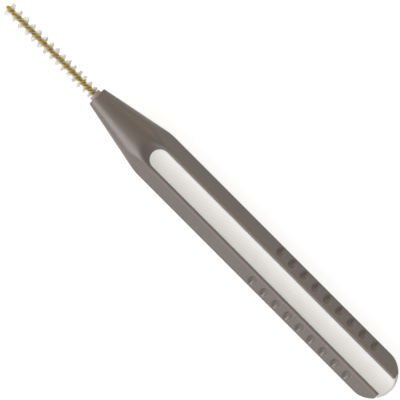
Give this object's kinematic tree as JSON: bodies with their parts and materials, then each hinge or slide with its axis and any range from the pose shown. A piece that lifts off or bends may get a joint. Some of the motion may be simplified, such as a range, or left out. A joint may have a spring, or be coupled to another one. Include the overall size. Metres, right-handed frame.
{
  "type": "interdental brush",
  "caption": "Slim interdental brush: twisted wire brush head in a two-part moulded handle, six-sided with a tapered nose, a flush stripe and rows of finger dimples.",
  "frame": {"origin": "centre of the footprint, on the plane that the back face of the handle rests on", "axes": "+X along the handle from the brush to the rounded end, +Z out of the front face with the stripe, +Y across the handle"},
  "size_m": [0.0719, 0.007, 0.0061],
  "materials": {
    "core_plastic": "white polypropylene, finely textured and satin",
    "grip_rubber": "warm grey soft elastomer, satin",
    "wire_metal": "gold-coloured coated steel wire, smooth",
    "bristle_nylon": "natural white nylon filament, translucent"
  },
  "bodies": {
    "root": {"handle_core": "core_plastic", "handle_grip": "grip_rubber", "twisted_wire": "wire_metal", "bristles": "bristle_nylon"}
  },
  "joints": []
}
